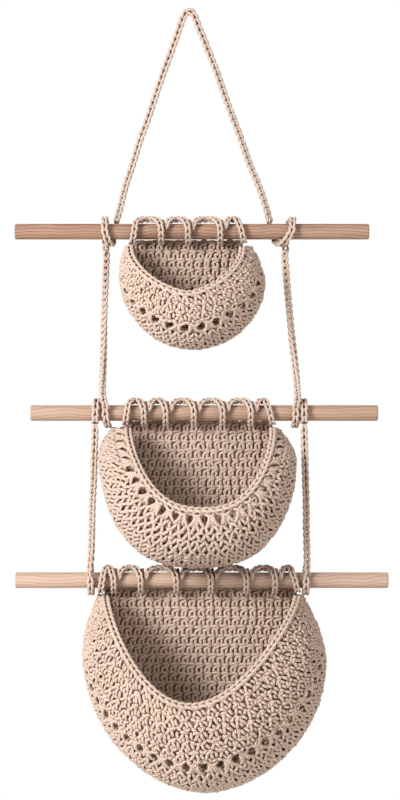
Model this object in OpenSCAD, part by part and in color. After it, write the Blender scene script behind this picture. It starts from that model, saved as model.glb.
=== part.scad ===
// Three-tier hanging fruit basket. Three crocheted half-bowl pouches are laced to round
// wooden rails, and the rails hang one below the other on crocheted chain cords.
// Millimetres, +Z up, +X to the right, -Y to the front, with the wall behind at +Y.
// The origin is where the top of the hanger rests on its nail.

/* [Rails] */
// Diameter of the wooden rails
rail_d = 16; // [14:0.5:18]
// Rounding where the ends of a rail are sawn off
rail_edge = 1; // [0.5:0.1:2]
// Length of the top rail
top_rail_len = 361; // [330:1:400]
// Length of the middle rail
middle_rail_len = 354; // [330:1:400]
// Length of the bottom rail
bottom_rail_len = 380; // [360:1:420]
// Middle of the top rail, to the right of the nail
top_rail_x = 3; // [-10:0.5:20]
// Middle of the middle rail, to the right of the nail
middle_rail_x = 15.5; // [0:0.5:30]
// Middle of the bottom rail, to the right of the nail
bottom_rail_x = 13; // [0:0.5:30]
// Axis of the top rail, below the nail
top_drop = 221; // [219:0.5:223]
// From the axis of the top rail down to the middle one
middle_drop = 185; // [184:0.5:187]
// From the axis of the middle rail down to the bottom one
bottom_drop = 170.5; // [170:0.5:172]

/* [Cords] */
// Thickness of the chain cords that carry the rails
cord_d = 7.5; // [6.5:0.1:8]
// Thickness of the lacing that holds a pouch on its rail
lacing_d = 6; // [5:0.1:7]
// Thickness of the chain edging round a mouth
edging_d = 7; // [5:0.5:8]
// Air between a rail and the cord wound round it
wrap_gap = 0.35; // [0.3:0.05:0.5]
// Air in a cord where it runs into a hitch and flexes
flex_gap = 0.3; // [0.2:0.05:0.5]

/* [Fabric] */
// Thickness of the crocheted bowls
bowl_t = 6; // [4:0.5:7]
// Thickness of the flat back panels
panel_t = 6; // [4:0.5:7]
// Air between a bowl's edge and its edging
edging_gap = 0.7; // [0.5:0.05:0.9]
// Air between the lacing and the upper edge of a pouch
hang_gap = 0.75; // [0.5:0.05:1]

/* [Top pouch] */
// Middle of the pouch, to the right of the nail
top_x = -2; // [-6:0.5:2]
// Width of the mouth at the rail
top_mouth_w = 109; // [100:1:116]
// Width of the bowl at the rail
top_neck_w = 113; // [104:1:120]
// Greatest width of the bowl
top_w = 147; // [135:1:152]
// Depth of the widest level below the rail's axis
top_widest = 53; // [45:1:60]
// Height of the pouch below the rail's axis
top_h = 120; // [105:1:130]
// Lowest point of the mouth below the rail's axis
top_mouth_h = 65; // [55:1:72]
// How far the front stands forward of the rail's axis
top_depth = 72; // [60:1:85]
// How far the widest line lies forward of the rail's axis
top_belly = 18; // [12:1:24]
// How far the bowl leans to the right below the rail
top_lean = 7; // [0:0.5:9]
// How far the lowest point of the mouth leans to the right
top_mouth_lean = 0; // [-5:0.5:5]
// Fullness of the mouth's curve, 2 is an ellipse
top_mouth_full = 2.2; // [1.6:0.1:2.8]

/* [Middle pouch] */
// Middle of the pouch, to the right of the nail
middle_x = 10; // [9:0.5:11]
// Width of the mouth at the rail
middle_mouth_w = 143; // [130:1:148]
// Width of the bowl at the rail
middle_neck_w = 156; // [150:1:160]
// Greatest width of the bowl
middle_w = 196; // [180:1:198]
// Depth of the widest level below the rail's axis
middle_widest = 58; // [50:1:65]
// Height of the pouch below the rail's axis
middle_h = 154.5; // [140:0.5:155]
// Lowest point of the mouth below the rail's axis
middle_mouth_h = 91; // [80:1:98]
// How far the front stands forward of the rail's axis
middle_depth = 96; // [80:1:104]
// How far the widest line lies forward of the rail's axis
middle_belly = 26; // [18:1:30]
// How far the bowl leans to the right below the rail
middle_lean = 0; // [-1:0.5:1]
// How far the lowest point of the mouth leans to the right
middle_mouth_lean = 0; // [-5:0.5:5]
// Fullness of the mouth's curve, 2 is an ellipse
middle_mouth_full = 2.6; // [1.8:0.1:3]

/* [Bottom pouch] */
// Middle of the pouch, to the right of the nail
bottom_x = 9.5; // [8:0.5:11]
// Width of the mouth at the rail
bottom_mouth_w = 195; // [185:1:196]
// Width of the bowl at the rail
bottom_neck_w = 199; // [190:1:204]
// Greatest width of the bowl
bottom_w = 246; // [230:1:260]
// Depth of the widest level below the rail's axis
bottom_widest = 87; // [75:1:95]
// Height of the pouch below the rail's axis
bottom_h = 208; // [190:1:220]
// Lowest point of the mouth below the rail's axis
bottom_mouth_h = 109; // [95:1:120]
// How far the front stands forward of the rail's axis
bottom_depth = 118; // [100:1:130]
// How far the widest line lies forward of the rail's axis
bottom_belly = 34; // [26:1:40]
// How far the bowl leans to the right below the rail
bottom_lean = 10; // [0:0.5:14]
// How far the lowest point of the mouth leans to the right
bottom_mouth_lean = -10; // [-15:0.5:5]
// Fullness of the mouth's curve, 2 is an ellipse
bottom_mouth_full = 1.6; // [1.5:0.1:2.4]

/* [Hidden] */

wood = "#e0bd9c";
cotton = "#ead6c3";
cotton_shade = "#dcc4ae";

// Heights of the rails' axes
top_z = -top_drop;
middle_z = top_z - middle_drop;
bottom_z = middle_z - bottom_drop;

// A cord's centreline round a rail, and the circle that the pouches keep outside of. The back
// panels touch the wall together with the turns of cord at the backs of the rails
wrap_r = rail_d / 2 + wrap_gap + cord_d / 2;
lacing_r = rail_d / 2 + wrap_gap + lacing_d / 2;
clear_r = lacing_r + lacing_d / 2 + hang_gap;
panel_y = wrap_r + cord_d / 2 - panel_t;
panel_top = sqrt(clear_r * clear_r - panel_y * panel_y);

// How far a hitch runs on, up or down its cord or round its rail, before the next cord starts
lead_up = 5;
lead_down = 20;
lead_turn = 60;
// The hanger's ends lie this far above the axis of the top rail
hanger_end = 9;

// Where each hitch lies along its rail, a value for each quarter of its turn
top_left_turn = [-76.5, -79.5, -85.5, -86, -85.5];
top_right_turn = [84.5, 92.5, 104.5, 106, 99];
middle_left_turn = [-85, -82, -87.5, -94, -95];
middle_right_turn = [108.5, 107.5, 112, 116.5, 117];
bottom_left_turn = [-100, -100, -100.5, -101];
bottom_right_turn = [119, 119, 119.5, 120];

// Where the lacing turns lie across a mouth, from -1 at its left end to 1 at its right
top_turns = [-0.95, -0.48, 0.02, 0.62, 1];
middle_turns = [-1, -0.78, -0.47, -0.07, 0.34, 0.74, 1];
bottom_turns = [-0.985, -0.88, -0.6, -0.23, 0.13, 0.5, 0.8, 1];

// The hanger's route over the nail, and the ends that run into the top hitches
hanger_points = [[-74.5, 100, 100], [-70, 100, 92], [-64, 92, 81], [-57, 83, 71],
    [-50, 67, 60], [-42, 58, 50], [-35, 42, 40], [-27, 25, 29], [-20, 17, 20],
    [-13.5, 8, 11.5], [-9.5, 0, 6], [-6.5, 0, 2], [-3.5, 0, -0.7], [0, 0, -1.8],
    [3.5, 0, -0.7], [6.5, 0, 2], [9.5, 0, 6], [14.5, 8, 11.5], [21.5, 17, 20],
    [29, 25, 29], [37, 42, 40], [45, 58, 50], [53, 67, 60], [61, 83, 71],
    [70, 92, 81], [78, 100, 92], [82.5, 100, 100]];
upper_left_points = [[-85.5, 100, 0], [-85.5, 100, 6], [-86, 75, 20], [-86.5, 42, 34],
    [-87, 8, 48], [-87.5, -25, 62], [-88, -58, 75], [-88.5, -88, 86],
    [-87.5, -100, 93], [-85, -100, 97.5], [-85, -100, 100]];
upper_right_points = [[99, 100, 0], [99, 100, 6], [100.5, 75, 20], [102, 42, 34],
    [104, 8, 48], [106.5, -25, 62], [109, -58, 75], [110.5, -88, 86],
    [110.5, -100, 93], [108.5, -100, 97.5], [108.5, -100, 100]];
lower_left_points = [[-95.5, -100, 0], [-95.5, -100, 7], [-96, -100, 20], [-96.5, -100, 36],
    [-97.5, -100, 52], [-98, -100, 68], [-98.5, -100, 82], [-99.5, -100, 91],
    [-100, -100, 96], [-100, -100, 100]];
lower_right_points = [[117, -100, 0], [117, -100, 7], [117.5, -100, 20], [118, -100, 36],
    [118.5, -100, 52], [118.5, -100, 68], [119, -100, 82], [119, -100, 91],
    [119, -100, 96], [119, -100, 100]];
// After its x, a point has two shares in percent: of a turn's radius towards the back, and
// of the way down
function hung(points, top, bottom) = [
    for (q = points) [q[0], wrap_r * q[1] / 100, top + (bottom - top) * q[2] / 100]];

// A pouch's sizes in one list, read by the functions below
top_pouch = [top_x, top_z, top_mouth_w, top_neck_w, top_w, top_widest, top_h, top_mouth_h,
    top_depth, top_belly, top_lean, top_mouth_lean, top_mouth_full];
middle_pouch = [middle_x, middle_z, middle_mouth_w, middle_neck_w, middle_w, middle_widest,
    middle_h, middle_mouth_h, middle_depth, middle_belly, middle_lean, middle_mouth_lean,
    middle_mouth_full];
bottom_pouch = [bottom_x, bottom_z, bottom_mouth_w, bottom_neck_w, bottom_w, bottom_widest,
    bottom_h, bottom_mouth_h, bottom_depth, bottom_belly, bottom_lean, bottom_mouth_lean,
    bottom_mouth_full];
function centre_x(p) = p[0];
function axis_z(p) = p[1];
function mouth_w(p) = p[2];
function neck_w(p) = p[3];
function full_w(p) = p[4];
function widest(p) = p[5];
function height(p) = p[6];
function mouth_h(p) = p[7];
function depth(p) = p[8];
function belly(p) = p[9];
function lean(p) = p[10];
function mouth_lean(p) = p[11];
function mouth_full(p) = p[12];

// The bowl's outline is a superellipse below its shoulders, which take this share of it
outline_full = 1.93;
shoulder = 34;
// The fabric's column at the rail: its depth and how far round its mouth edge starts
neck_depth = 15;
neck_start = 42;
mouth_start = -18;
columns = 30;
rows = 8;
normal_step = 0.5;

cord_sides = 8;
lacing_sides = 6;
turn_step = 15;
edging_steps = 40;
edging_start = 4;

// Vector helpers
function unit(v) = v / norm(v);
function square_to(u, t) = unit(u - (u * t) * t);
function tangent(p, i) = unit(p[min(i + 1, len(p) - 1)] - p[max(i - 1, 0)]);
function steep(t) = abs(t[0]) < 0.8 ? [1, 0, 0] : [0, 0, 1];

// Points of a round tube that follows a route, one ring after the other
function tube_points(p, r, sides) = [ // r is one radius, or one for each point
    for (i = 0, u = steep(tangent(p, 0)); i < len(p); i = i + 1,
        u = square_to(u, tangent(p, min(i, len(p) - 1))))
        let (t = tangent(p, i), v = square_to(u, t), w = cross(t, v))
            for (k = [0 : sides - 1])
                p[i] + (is_list(r) ? r[i] : r)
                    * (cos(360 * k / sides) * v + sin(360 * k / sides) * w)];
function tube_faces(rings, sides) = concat(
    [for (i = [0 : rings - 2], k = [0 : sides - 1])
        [i * sides + k, (i + 1) * sides + k, i * sides + (k + 1) % sides]],
    [for (i = [0 : rings - 2], k = [0 : sides - 1])
        [i * sides + (k + 1) % sides, (i + 1) * sides + k, (i + 1) * sides + (k + 1) % sides]],
    [for (k = [1 : sides - 2]) [0, k, k + 1]],
    [for (k = [1 : sides - 2]) [0, k + 1, k] + (rings - 1) * sides * [1, 1, 1]]);
module tube(p, r, sides) {
    polyhedron(tube_points(p, r, sides), tube_faces(len(p), sides));
}

// Routes wound round a rail: 0 degrees is the front of the rail, 90 its top
function wrap_point(x, z, r, a) = [x, -r * cos(a), z + r * sin(a)];
function along(list, t) = let (i = min(floor(t), len(list) - 2))
    list[i] + (list[i + 1] - list[i]) * (t - i);
function turn(z, start, direction, list, more = 0) = [
    for (a = [0 : turn_step : 90 * (len(list) - 1) + more])
        wrap_point(along(list, a / 90), z, wrap_r, start + direction * a)];
// A turn that goes from the back of the rail under it, up the front and over the top
function back_turn(z, list, from) = let (t = turn(z, 180, 1, list), last = t[len(t) - 1])
    concat([from + flex_gap * unit(t[0] - from)], t, [last - [0, 0, lead_down]]);
// A turn that goes from the front of the rail under it, up the back and over the top
function front_turn(z, list) = let (t = turn(z, 0, -1, list, lead_turn))
    concat([t[0] + [0, 0, lead_up]], t);
// The same, but the cord's end is tucked in on top of the rail
function end_turn(z, list) = let (t = turn(z, 0, -1, list))
    concat([t[0] + [0, 0, lead_up]], t);

// The lacing rises as an arch, comes down the front at a turn, and passes thinly under and
// behind the rail and over its top to the foot of the next arch. A point has its millimetres
// beside the turn, its angle, its air over the rail and its thickness in percent
lace_start = [[-4, -74, 0.1, 100], [-3.4, -50, 0.2, 100], [-2.6, -26, 0.4, 100],
    [-1.6, -2, 0.6, 100], [-0.8, 20, 0.8, 100], [0.2, 44, 1, 100]];
lace_foot = [[1.6, 60, 0.1, 53], [1.8, 38, 0.1, 53], [2.6, 19, 0.1, 53], [4.3, 8, 0.4, 56],
    [5.6, 20, 0.9, 67], [6.6, 44, 1, 90]];
lace_turn = [[-2.4, 38, 2.4, 100], [-0.6, 18, 3.2, 100], [0, -2, 2.4, 100],
    [0, -26, 0.8, 100], [0, -50, 0.2, 100], [0, -74, 0.1, 100], [0, -98, 0.1, 87],
    [0.3, -122, 0.1, 70], [0.6, -148, 0.15, 57], [0.9, -175, 0.2, 53],
    [1.1, -202, 0.2, 53], [1.3, -229, 0.2, 53], [1.4, -255, 0.2, 53], [1.5, -280, 0.2, 53]];
lace_end = [[-2.4, 38, 1, 100], [-0.4, 18, 0.8, 100], [1, -2, 0.6, 100],
    [2.2, -26, 0.4, 100], [3.2, -50, 0.2, 100], [4, -74, 0.1, 100]];
// The arch's own points have their share of the way between its feet instead of millimetres
lace_arch = [[0.2, 66, 1, 100], [0.45, 83, 1.2, 100], [0.7, 80, 1.2, 100],
    [0.9, 59, 1.4, 100]];
function turn_x(p, f) = centre_x(p) + f * mouth_w(p) / 2;
function moved(list, x) = [for (q = list) [x + q[0], q[1], q[2], q[3]]];
function lacing_table(p, turns) = [
    for (i = [0 : len(turns) - 2]) let (
        rise = moved(i == 0 ? lace_start : lace_foot, turn_x(p, turns[i])),
        fall = moved(i == len(turns) - 2 ? lace_end : lace_turn, turn_x(p, turns[i + 1])),
        left = rise[len(rise) - 1][0],
        right = fall[0][0])
            each concat(rise, [for (q = lace_arch)
                [left + q[0] * (right - left), q[1], q[2], q[3]]], fall)];
function lacing_radii(table) = [for (q = table) lacing_d / 2 * q[3] / 100];
function lacing_route(p, table) = [for (q = table)
    wrap_point(q[0], axis_z(p), rail_d / 2 + wrap_gap + lacing_d / 2 * q[3] / 100 + q[2],
        q[1])];
module lacing(p, turns) {
    table = lacing_table(p, turns);
    tube(lacing_route(p, table), lacing_radii(table), lacing_sides);
}

// Least air between the turns of a winding, measured on its route
function least_gap(p, r) = min([
    for (i = [0 : len(p) - 9], j = [i + 8 : len(p) - 1]) norm(p[i] - p[j]) - r[i] - r[j]]);

// The pouch in front view: s runs from 0 at the rail on the left to 180 on the right
function side(s) = s < 90 ? -1 : 1;
function fold(s) = s < 90 ? s : 180 - s;
function power(v, e) = v <= 0 ? 0 : pow(v, e);
// Drops are squeezed a little so that a pouch starts below its rail
function below_rail(z, h) = clear_r + z * (h - clear_r) / h;
function lower_angle(s) = 90 * (fold(s) - shoulder) / (90 - shoulder);
function outline_half(p, s) = fold(s) < shoulder
    ? neck_w(p) / 2 + (full_w(p) - neck_w(p)) / 2 * sin(90 * fold(s) / shoulder)
    : full_w(p) / 2 * power(cos(lower_angle(s)), 2 / outline_full);
function outline_drop(p, s) = fold(s) < shoulder
    ? widest(p) * fold(s) / shoulder
    : widest(p) + (height(p) - widest(p)) * power(sin(lower_angle(s)), 2 / outline_full);
function outline(p, s) = let (z = outline_drop(p, s)) [
    centre_x(p) + lean(p) * sin(min(90, 45 * z / widest(p))) + side(s) * outline_half(p, s),
    below_rail(z, height(p))];
function mouth(p, s) = let (z = mouth_h(p) * power(sin(fold(s)), 2 / mouth_full(p))) [
    centre_x(p) + mouth_lean(p) * z / mouth_h(p)
        + side(s) * mouth_w(p) / 2 * power(cos(fold(s)), 2 / mouth_full(p)),
    below_rail(z, mouth_h(p))];

// The bowl's outer skin: w runs from 0 at the mouth over the belly to 1 at the seam
function line_y(p, s) = -belly(p) * sin(s);
function column_depth(p, s) = neck_depth
    + (depth(p) - belly(p) - neck_depth) * power(sin(s), 0.8);
function start_angle(s) = neck_start + (mouth_start - neck_start) * power(sin(s), 0.7);
function seam_angle(p, s) = 90 + asin(min(1, (panel_y - line_y(p, s)) / column_depth(p, s)));
function skin(p, s, w) = let (
    a0 = start_angle(s), a = a0 + (seam_angle(p, s) - a0) * w,
    out = (sin(a) - sin(a0)) / (1 - sin(a0)),
    m = mouth(p, s), o = outline(p, s), xz = m + (o - m) * out)
    [xz[0], line_y(p, s) - column_depth(p, s) * cos(a), axis_z(p) - xz[1]];
function heart(p) = [centre_x(p), -belly(p), axis_z(p) - (mouth_h(p) + height(p)) / 2];
function normal(p, s, w) = let (
    sa = max(0, s - normal_step), sb = min(180, s + normal_step),
    wa = max(0, w - normal_step / 50), wb = min(1, w + normal_step / 50),
    n = unit(cross(skin(p, sb, w) - skin(p, sa, w), skin(p, s, wb) - skin(p, s, wa))))
    n * (skin(p, s, w) - heart(p)) < 0 ? -n : n;
// How far round a point lies that is this far from the mouth's edge, measured square to it,
// and where the bowl's rows lie
function along_mouth(p, s) = unit(skin(p, min(180, s + normal_step), 0)
    - skin(p, max(0, s - normal_step), 0));
function from_mouth(p, s, d) = 0.1 * d
    / norm(cross(skin(p, s, 0.1) - skin(p, s, 0), along_mouth(p, s)));
function row_w(p, s, j) = let (start = from_mouth(p, s, edging_d + edging_gap))
    start + (1 - start) * j / rows;
function outside(p, i, j) = let (s = 180 * i / columns) skin(p, s, row_w(p, s, j));
function inside(p, i, j) = let (
    s = 180 * i / columns, w = row_w(p, s, j),
    q = skin(p, s, w) - bowl_t * normal(p, s, w))
    [q[0], j == rows ? panel_y : min(q[1], panel_y),
        i == 0 || i == columns ? axis_z(p) - clear_r : min(q[2], axis_z(p) - clear_r)];

function spot(i, j) = i * (rows + 1) + j;
function cell(a, b, c, d) = [[a, b, c], [a, c, d]];
module bowl(p) {
    in = (columns + 1) * (rows + 1);
    points = concat(
        [for (i = [0 : columns], j = [0 : rows]) outside(p, i, j)],
        [for (i = [0 : columns], j = [0 : rows]) inside(p, i, j)]);
    faces = concat(
        [for (i = [0 : columns - 1], j = [0 : rows - 1])
            each cell(spot(i, j), spot(i, j + 1), spot(i + 1, j + 1), spot(i + 1, j))],
        [for (i = [0 : columns - 1], j = [0 : rows - 1])
            each cell(in + spot(i, j), in + spot(i + 1, j),
                in + spot(i + 1, j + 1), in + spot(i, j + 1))],
        [for (i = [0 : columns - 1])
            each cell(spot(i, 0), spot(i + 1, 0), in + spot(i + 1, 0), in + spot(i, 0))],
        [for (i = [0 : columns - 1])
            each cell(spot(i, rows), in + spot(i, rows),
                in + spot(i + 1, rows), spot(i + 1, rows))],
        [for (j = [0 : rows - 1])
            each cell(spot(0, j), in + spot(0, j), in + spot(0, j + 1), spot(0, j + 1))],
        [for (j = [0 : rows - 1])
            each cell(spot(columns, j), spot(columns, j + 1),
                in + spot(columns, j + 1), in + spot(columns, j))]);
    polyhedron(points, faces);
}

// The flat back follows the bowl's seam and reaches up behind the lacing
module back_panel(p) {
    seam = [for (i = [0 : columns]) let (q = skin(p, 180 * i / columns, 1)) [q[0], q[2]]];
    top = axis_z(p) - panel_top;
    translate([0, panel_y + panel_t, 0])
        rotate([90, 0, 0])
            linear_extrude(panel_t)
                polygon(concat([[seam[0][0], top]], seam, [[seam[columns][0], top]]));
}

// The chain edging runs along the bowl's upper edge, in line with the middle of its thickness
module mouth_edging(p) {
    route = [for (i = [0 : edging_steps])
        let (s = edging_start + (180 - 2 * edging_start) * i / edging_steps,
            w = from_mouth(p, s, edging_d / 2))
            skin(p, s, w) - bowl_t / 2 * normal(p, s, w)];
    tube(route, edging_d / 2, cord_sides);
}

module rail(len, x, z) {
    translate([x - len / 2, 0, z])
        rotate([0, 90, 0])
            rotate_extrude($fn = 64)
                polygon([[0, 0], [rail_d / 2 - rail_edge, 0], [rail_d / 2, rail_edge],
                    [rail_d / 2, len - rail_edge], [rail_d / 2 - rail_edge, len], [0, len]]);
}

hanger_route = hung(hanger_points, 0, top_z + hanger_end);
upper_top = top_z - lead_down - flex_gap;
upper_left_route = hung(upper_left_points, upper_top, middle_z + lead_up + flex_gap);
upper_right_route = hung(upper_right_points, upper_top, middle_z + lead_up + flex_gap);
// The lower cords start outside the circle that the turns round the middle rail fill
lower_top = middle_z - sqrt(pow(wrap_r + cord_d / 2 + flex_gap, 2) - pow(wrap_r - cord_d / 2, 2));
lower_left_route = hung(lower_left_points, lower_top, bottom_z + lead_up + flex_gap);
lower_right_route = hung(lower_right_points, lower_top, bottom_z + lead_up + flex_gap);
top_left_route = back_turn(top_z, top_left_turn, hanger_route[0]);
top_right_route = back_turn(top_z, top_right_turn, hanger_route[len(hanger_route) - 1]);
middle_left_route = front_turn(middle_z, middle_left_turn);
middle_right_route = front_turn(middle_z, middle_right_turn);
bottom_left_route = end_turn(bottom_z, bottom_left_turn);
bottom_right_route = end_turn(bottom_z, bottom_right_turn);

module hanger_cord() { color(cotton) tube(hanger_route, cord_d / 2, cord_sides); }
module upper_left_cord() { color(cotton) tube(upper_left_route, cord_d / 2, cord_sides); }
module upper_right_cord() { color(cotton) tube(upper_right_route, cord_d / 2, cord_sides); }
module lower_left_cord() { color(cotton) tube(lower_left_route, cord_d / 2, cord_sides); }
module lower_right_cord() { color(cotton) tube(lower_right_route, cord_d / 2, cord_sides); }
module top_left_hitch() { color(cotton) tube(top_left_route, cord_d / 2, cord_sides); }
module top_right_hitch() { color(cotton) tube(top_right_route, cord_d / 2, cord_sides); }
module middle_left_hitch() { color(cotton) tube(middle_left_route, cord_d / 2, cord_sides); }
module middle_right_hitch() { color(cotton) tube(middle_right_route, cord_d / 2, cord_sides); }
module bottom_left_hitch() { color(cotton) tube(bottom_left_route, cord_d / 2, cord_sides); }
module bottom_right_hitch() { color(cotton) tube(bottom_right_route, cord_d / 2, cord_sides); }
module top_rail() { color(wood) rail(top_rail_len, top_rail_x, top_z); }
module middle_rail() { color(wood) rail(middle_rail_len, middle_rail_x, middle_z); }
module bottom_rail() { color(wood) rail(bottom_rail_len, bottom_rail_x, bottom_z); }
module top_lacing() { color(cotton) lacing(top_pouch, top_turns); }
module middle_lacing() { color(cotton) lacing(middle_pouch, middle_turns); }
module bottom_lacing() { color(cotton) lacing(bottom_pouch, bottom_turns); }
module top_back_panel() { color(cotton_shade) back_panel(top_pouch); }
module middle_back_panel() { color(cotton_shade) back_panel(middle_pouch); }
module bottom_back_panel() { color(cotton_shade) back_panel(bottom_pouch); }
module top_front_bowl() { color(cotton) bowl(top_pouch); }
module middle_front_bowl() { color(cotton) bowl(middle_pouch); }
module bottom_front_bowl() { color(cotton) bowl(bottom_pouch); }
module top_mouth_edging() { color(cotton) mouth_edging(top_pouch); }
module middle_mouth_edging() { color(cotton) mouth_edging(middle_pouch); }
module bottom_mouth_edging() { color(cotton) mouth_edging(bottom_pouch); }

hanger_cord();
top_rail();
top_left_hitch();
top_right_hitch();
top_lacing();
top_back_panel();
top_front_bowl();
top_mouth_edging();
upper_left_cord();
upper_right_cord();
middle_rail();
middle_left_hitch();
middle_right_hitch();
middle_lacing();
middle_back_panel();
middle_front_bowl();
middle_mouth_edging();
lower_left_cord();
lower_right_cord();
bottom_rail();
bottom_left_hitch();
bottom_right_hitch();
bottom_lacing();
bottom_back_panel();
bottom_front_bowl();
bottom_mouth_edging();

// Least air between the turns of each winding, which stays over 0.4
echo(lacing_gaps = [for (q = [[top_pouch, top_turns], [middle_pouch, middle_turns],
    [bottom_pouch, bottom_turns]]) let (table = lacing_table(q[0], q[1]))
    least_gap(lacing_route(q[0], table), lacing_radii(table))]);
echo(hitch_gaps = [for (r = [top_left_route, top_right_route, middle_left_route,
    middle_right_route, bottom_left_route, bottom_right_route])
    least_gap(r, [for (q = r) cord_d / 2])]);
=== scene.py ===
"""Dresses a three-tier hanging fruit basket in crocheted cotton yarn and sanded wood."""

import logging
import math
from dataclasses import dataclass, field, replace
from enum import Enum
from functools import partial

import bmesh
import bpy
import numpy as np
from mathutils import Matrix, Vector


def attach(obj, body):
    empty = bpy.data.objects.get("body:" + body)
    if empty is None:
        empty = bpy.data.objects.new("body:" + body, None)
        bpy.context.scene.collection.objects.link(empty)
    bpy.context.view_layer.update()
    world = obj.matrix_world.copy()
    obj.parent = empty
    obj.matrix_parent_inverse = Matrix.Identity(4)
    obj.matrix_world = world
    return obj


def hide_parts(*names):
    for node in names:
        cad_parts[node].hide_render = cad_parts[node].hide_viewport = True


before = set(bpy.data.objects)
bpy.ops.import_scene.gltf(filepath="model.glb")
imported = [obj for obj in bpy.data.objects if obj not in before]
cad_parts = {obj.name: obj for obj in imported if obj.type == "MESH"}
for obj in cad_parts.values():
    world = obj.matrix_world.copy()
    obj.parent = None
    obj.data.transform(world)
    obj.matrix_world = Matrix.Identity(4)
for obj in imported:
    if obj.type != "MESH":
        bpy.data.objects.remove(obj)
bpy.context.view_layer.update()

Array = np.ndarray
Table = tuple[tuple[float, ...], ...]
MM = 0.001
log = logging.getLogger("basket")


# Materials

def linear(hex_colour: str) -> tuple[float, float, float, float]:
    """Turn an sRGB hex colour into Blender's linear one.

    Args:
        hex_colour: Six hex digits, with or without a leading hash.

    Returns:
        Red, green, blue and an alpha of 1.
    """
    values = [int(hex_colour.lstrip("#")[i:i + 2], 16) / 255 for i in (0, 2, 4)]
    curve = [v / 12.92 if v <= 0.04045 else ((v + 0.055) / 1.055) ** 2.4 for v in values]
    return (*curve, 1.0)


def add_node(tree: bpy.types.NodeTree, kind: str, links: dict[str | int, object] | None = None,
             values: dict[str | int, object] | None = None,
             stops: tuple[tuple[float, str], ...] = (), **settings: object) -> bpy.types.Node:
    """Add a shader node with its settings, socket values and links.

    Args:
        tree: The node tree that takes the node.
        kind: The node's type name, without the prefix that all of them share.
        links: Input names or numbers, each with the node, for its first output, or the output
            socket that feeds it.
        values: Input names or numbers, each with its value.
        stops: A colour ramp's two places from 0 to 1, each with an sRGB hex colour.
        **settings: The node's own properties.

    Returns:
        The new node.
    """
    node = tree.nodes.new(f"ShaderNode{kind}")
    for name, value in settings.items():
        setattr(node, name, value)
    for name, value in (values or {}).items():
        node.inputs[name].default_value = value
    for name, source in (links or {}).items():
        socket = source.outputs[0] if isinstance(source, bpy.types.Node) else source
        tree.links.new(socket, node.inputs[name])
    for i, (place, colour) in enumerate(stops):
        node.color_ramp.elements[i].position = place
        node.color_ramp.elements[i].color = linear(colour)
    return node


def new_material(name: str, values: dict[str, object]) -> tuple[
        bpy.types.Material, bpy.types.NodeTree, bpy.types.Node]:
    """Make a material.

    Args:
        name: Its name.
        values: Its surface shader's own values.

    Returns:
        The material, its node tree and its surface shader.
    """
    made = bpy.data.materials.new(name)
    made.use_nodes = True
    shader = made.node_tree.nodes["Principled BSDF"]
    for key, value in values.items():
        shader.inputs[key].default_value = value
    return made, made.node_tree, shader


@dataclass(frozen=True)
class CottonYarn:
    """Soft plied cotton: matt, with fine twist grooves and a little fuzz that lifts its edges;
    painted shade darkens its grooves, the gaps between its threads and the inside of a pouch.
    """

    name: str
    colour: str
    # The colour in the twist's grooves: painted shade
    groove_shade: str
    # Painted shade: warm brown colours, how far each looks for occlusion and where it fades out, in
    # the gaps between threads and inside a pouch
    gap: str = "#BC9580"
    gap_shade_mm: float = 6.0
    gap_shade_clear: float = 0.75
    hollow_shade: str = "#93694F"
    hollow_shade_mm: float = 80.0
    hollow_shade_clear: float = 0.42
    plies: int = 4
    lay_mm: float = 9.0

    def material(self) -> bpy.types.Material:
        """Make the material, once, whose twist follows each strand's own length and girth."""
        made = bpy.data.materials.get(self.name)
        if made:
            return made
        made, tree, shader = new_material(self.name, {
            "Roughness": 0.88, "Specular IOR Level": 0.22, "Sheen Weight": 0.18,
            "Sheen Roughness": 0.5})
        node = partial(add_node, tree)
        # The map's first value is the length in millimetres, its second goes once round the yarn
        split = node("SeparateXYZ", {0: node("UVMap", uv_map="strand")})
        turns = node("Math", {0: split}, {1: 1 / self.lay_mm * self.plies}, operation="MULTIPLY")
        around = node("Math", {0: split.outputs[1], 2: turns}, {1: float(self.plies)},
                      operation="MULTIPLY_ADD")
        phase = node("Math", {0: around}, {1: math.tau}, operation="MULTIPLY")
        wave = node("Math", {0: phase}, operation="SINE")
        height = node("MapRange", {"Value": wave}, {"From Min": -1.0, "From Max": 0.3})
        # Painted shade: the twist's grooves are coloured darker, where they lie in shade, besides
        # the bump below that shapes them
        colour = node("ValToRGB", {"Fac": height},
                      stops=((0.0, self.groove_shade), (0.8, self.colour)))
        # Uneven spinning and handling: patches of some 20 mm, and fibres of about 0.5 mm
        place = node("TexCoord").outputs["Object"]
        patch = node("TexNoise", {"Vector": place}, {"Scale": 45.0, "Detail": 2.0})
        fibre = node("TexNoise", {"Vector": place}, {"Scale": 1900.0, "Detail": 1.0})
        tints = [node("MapRange", {"Value": patch}, {
            "From Min": 0.3, "From Max": 0.7, "To Min": 0.94, "To Max": 1.03})]
        # Painted shade: ambient occlusion multiplies the colour towards a warm brown in the gaps
        # between threads, and again deep inside each pouch, where bounced light leaves them in
        # shade
        for reach, tint, clear in ((self.gap_shade_mm, self.gap, self.gap_shade_clear),
                                   (self.hollow_shade_mm, self.hollow_shade, self.hollow_shade_clear)):
            opened = node("AmbientOcclusion", values={"Distance": reach * MM}, samples=4)
            tints.append(node("ValToRGB", {"Fac": opened.outputs["AO"]},
                              stops=((0.0, tint), (clear, "#FFFFFF"))))
        for tint in tints:
            colour = node("Mix", {6: colour, 7: tint}, {0: 1.0}, data_type="RGBA",
                          blend_type="MULTIPLY").outputs[2]
        tree.links.new(colour, shader.inputs["Base Color"])
        fuzz = node("Math", {0: fibre, 2: height}, {1: 0.35}, operation="MULTIPLY_ADD")
        bump = node("Bump", {"Height": fuzz}, {"Strength": 0.55, "Distance": 0.4 * MM})
        tree.links.new(bump.outputs[0], shader.inputs["Normal"])
        return made


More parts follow.
